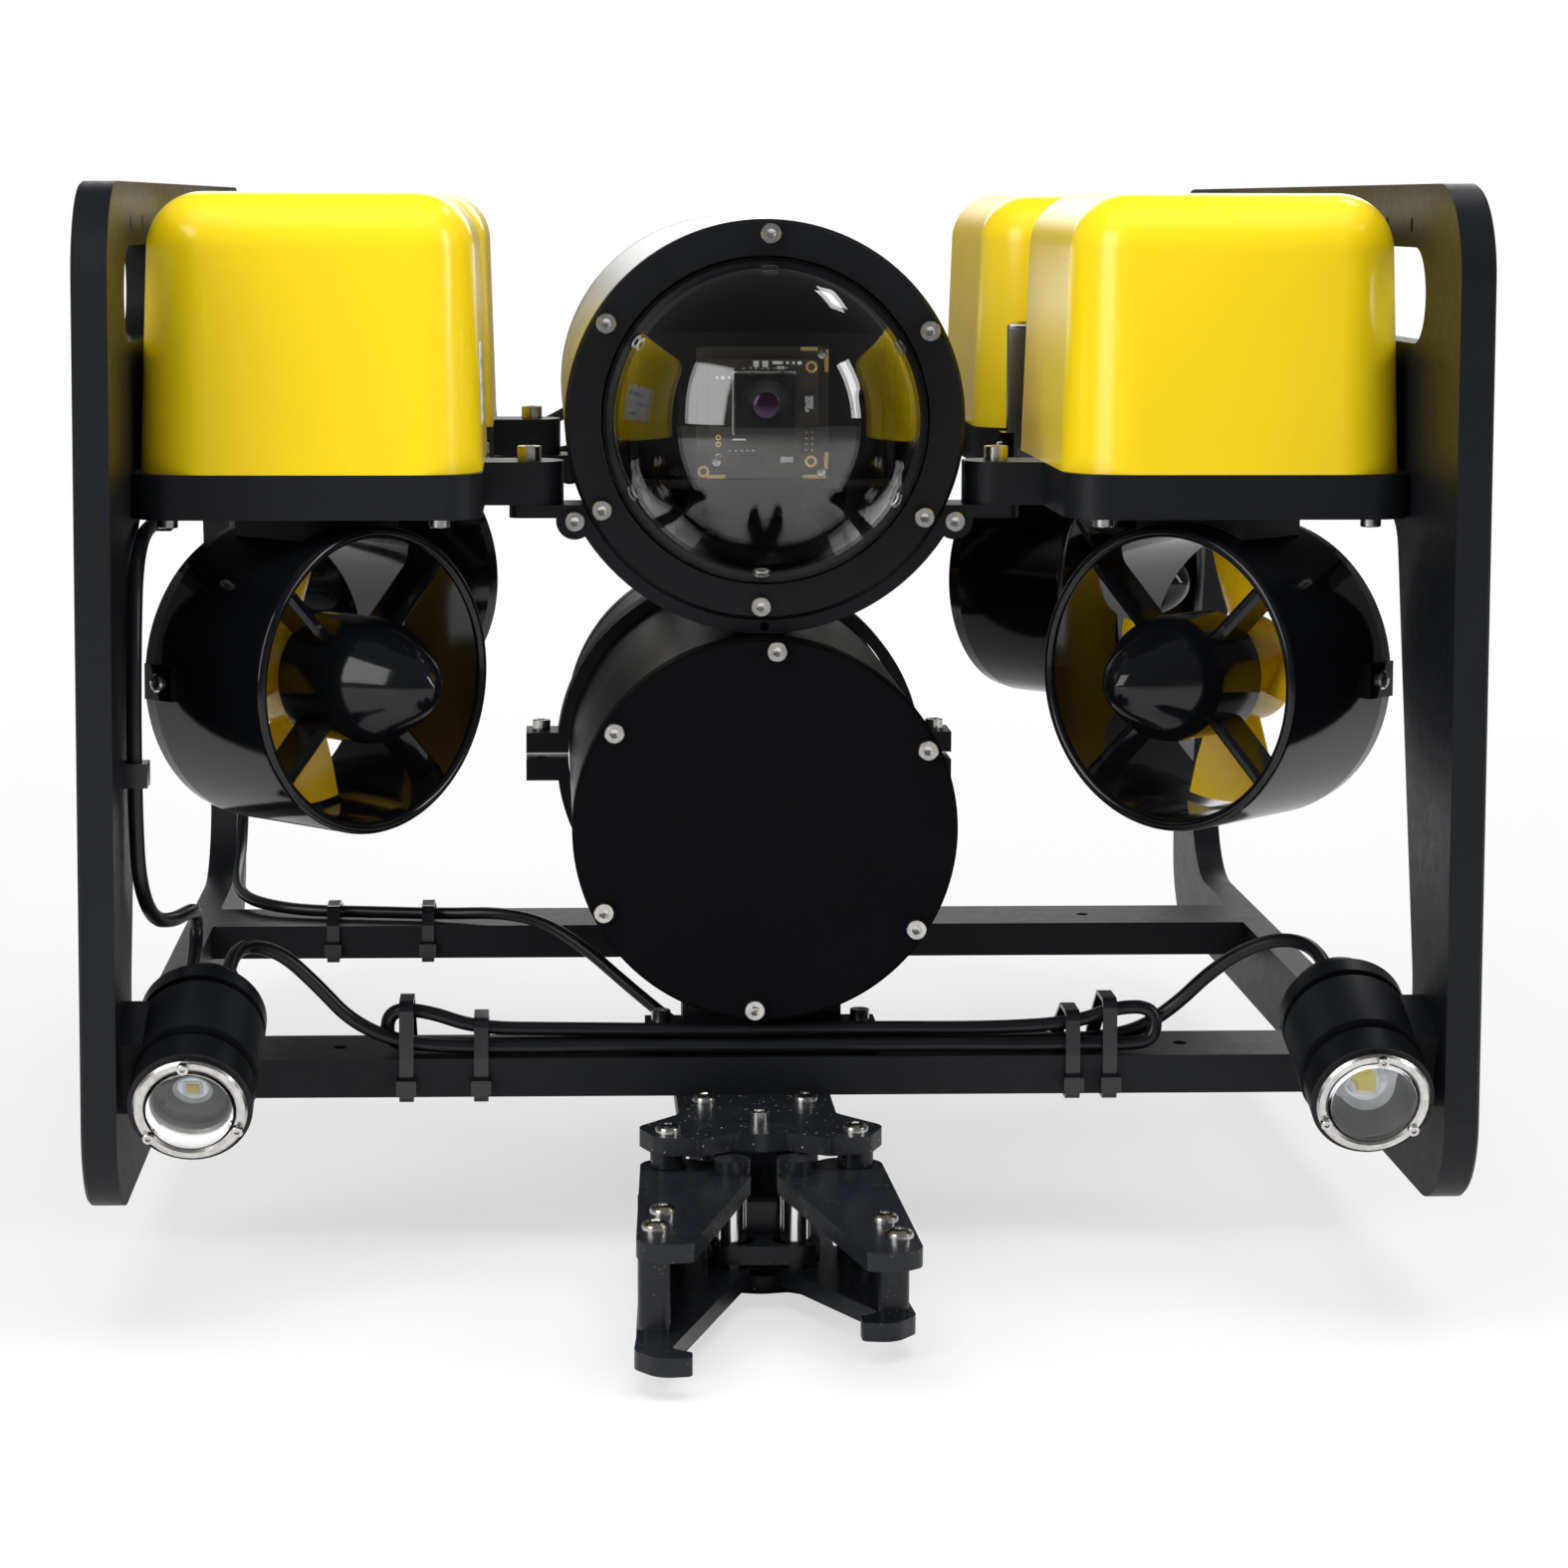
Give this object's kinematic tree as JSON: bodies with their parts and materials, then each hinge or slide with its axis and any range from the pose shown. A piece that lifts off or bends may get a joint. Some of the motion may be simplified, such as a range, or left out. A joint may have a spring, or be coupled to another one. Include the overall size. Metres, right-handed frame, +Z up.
{
  "type": "underwater inspection ROV",
  "caption": "Underwater inspection ROV: open plate frame with floats, camera dome housing, battery tube, ducted thrusters, lamps and a jawed gripper.",
  "frame": {"origin": "centre of the rectangle of payload holes, on the underside of the cross beams", "axes": "-Y forwards, towards the camera dome; +X to the right as seen from the front; +Z up"},
  "size_m": [0.45, 0.5929, 0.3721],
  "materials": {
    "black_hdpe": "fine-grained cut sheet",
    "yellow_moulding": "glossy moulded",
    "silver_anodised": "satin anodised",
    "black_anodised": "satin black anodised",
    "clear_acrylic": "clear and polished",
    "amber_laminate": "satin amber laminate",
    "circuit_board": "solder mask",
    "camera_black": "satin black",
    "black_moulding": "satin moulded",
    "cell_wrap": "shrink wrap",
    "black_gloss": "glossy moulded",
    "yellow_propeller": "glossy moulded",
    "polished_metal": "polished",
    "gripper_black": "glossy speckled black anodised",
    "cable_rubber": "satin jacket",
    "tie_black": "satin black nylon",
    "stainless": "turned"
  },
  "bodies": {
    "frame": {"side_plate_left": "black_hdpe", "side_plate_right": "black_hdpe", "front_beam": "black_hdpe", "rear_beam": "black_hdpe", "shelf_front_left": "black_hdpe", "shelf_front_right": "black_hdpe", "shelf_rear_left": "black_hdpe", "shelf_rear_right": "black_hdpe", "float_front_left": "yellow_moulding", "float_front_right": "yellow_moulding", "float_rear_left": "yellow_moulding", "float_rear_right": "yellow_moulding", "electronics_tube": "silver_anodised", "dome_flange": "black_anodised", "electronics_rear_cap": "black_anodised", "battery_tube": "black_anodised", "battery_front_cap": "black_anodised", "battery_rear_cap": "black_anodised", "camera_dome": "clear_acrylic", "light_lens_left": "clear_acrylic", "light_lens_right": "clear_acrylic", "electronics_tray": "amber_laminate", "camera_board": "circuit_board", "camera_lens": "camera_black", "electronics_saddles": "black_moulding", "battery_saddles": "black_moulding", "battery_clamp": "black_moulding", "thruster_mounts": "black_moulding", "light_bracket_left": "black_moulding", "light_bracket_right": "black_moulding", "battery_pack": "cell_wrap", "thruster_duct_front_left": "black_gloss", "thruster_duct_front_right": "black_gloss", "thruster_duct_rear_left": "black_gloss", "thruster_duct_rear_right": "black_gloss", "thruster_duct_lift_left": "black_gloss", "thruster_duct_lift_right": "black_gloss", "light_body_left": "black_anodised", "light_body_right": "black_anodised", "light_bezel_left": "polished_metal", "light_bezel_right": "polished_metal", "gripper_plates": "gripper_black", "gripper_actuator": "gripper_black", "supply_cable": "cable_rubber", "link_cable": "cable_rubber", "grip_cable": "cable_rubber", "cable_ties": "tie_black", "cable_glands": "tie_black", "cap_screws": "stainless"},
    "propeller_front_left": {"propeller_front_left": "yellow_propeller"},
    "propeller_front_right": {"propeller_front_right": "yellow_propeller"},
    "propeller_rear_left": {"propeller_rear_left": "yellow_propeller"},
    "propeller_rear_right": {"propeller_rear_right": "yellow_propeller"},
    "propeller_lift_left": {"propeller_lift_left": "yellow_propeller"},
    "propeller_lift_right": {"propeller_lift_right": "yellow_propeller"},
    "jaw_left": {"jaw_left": "gripper_black", "jaw_pin_left": "polished_metal"},
    "jaw_right": {"jaw_right": "gripper_black", "jaw_pin_right": "polished_metal"},
    "push_rod": {"push_rod": "gripper_black"}
  },
  "joints": [
    {"name": "spin_front_left", "type": "hinge", "parent": "frame", "child": "propeller_front_left", "pos_m": [-0.154, -0.157, 0.1507], "axis": [0.7071, -0.7071, 0], "continuous": true},
    {"name": "spin_front_right", "type": "hinge", "parent": "frame", "child": "propeller_front_right", "pos_m": [0.154, -0.157, 0.1507], "axis": [-0.7071, -0.7071, 0], "continuous": true},
    {"name": "spin_rear_left", "type": "hinge", "parent": "frame", "child": "propeller_rear_left", "pos_m": [-0.154, 0.186, 0.1507], "axis": [-0.7071, -0.7071, 0], "continuous": true},
    {"name": "spin_rear_right", "type": "hinge", "parent": "frame", "child": "propeller_rear_right", "pos_m": [0.154, 0.186, 0.1507], "axis": [0.7071, -0.7071, 0], "continuous": true},
    {"name": "spin_lift_left", "type": "hinge", "parent": "frame", "child": "propeller_lift_left", "pos_m": [-0.154, 0.0145, 0.235], "axis": [0, 0, 1], "continuous": true},
    {"name": "spin_lift_right", "type": "hinge", "parent": "frame", "child": "propeller_lift_right", "pos_m": [0.154, 0.0145, 0.235], "axis": [0, 0, 1], "continuous": true},
    {"name": "jaw_left_pivot", "type": "hinge", "parent": "frame", "child": "jaw_left", "pos_m": [-0.0355, -0.196, -0.0273], "axis": [0, 0, 1], "range_deg": [0, 14]},
    {"name": "jaw_right_pivot", "type": "hinge", "parent": "frame", "child": "jaw_right", "pos_m": [0.0275, -0.196, -0.0273], "axis": [0, 0, 1], "range_deg": [-14, 0]},
    {"name": "rod_slide", "type": "slide", "parent": "frame", "child": "push_rod", "axis": [0, 1, 0], "range_m": [0, 0.0056]}
  ],
  "couplings": [
    {"joint": "jaw_right_pivot", "follows": "jaw_left_pivot", "ratio": -1},
    {"joint": "rod_slide", "follows": "jaw_left_pivot", "m_per_rad": 0.022}
  ]
}
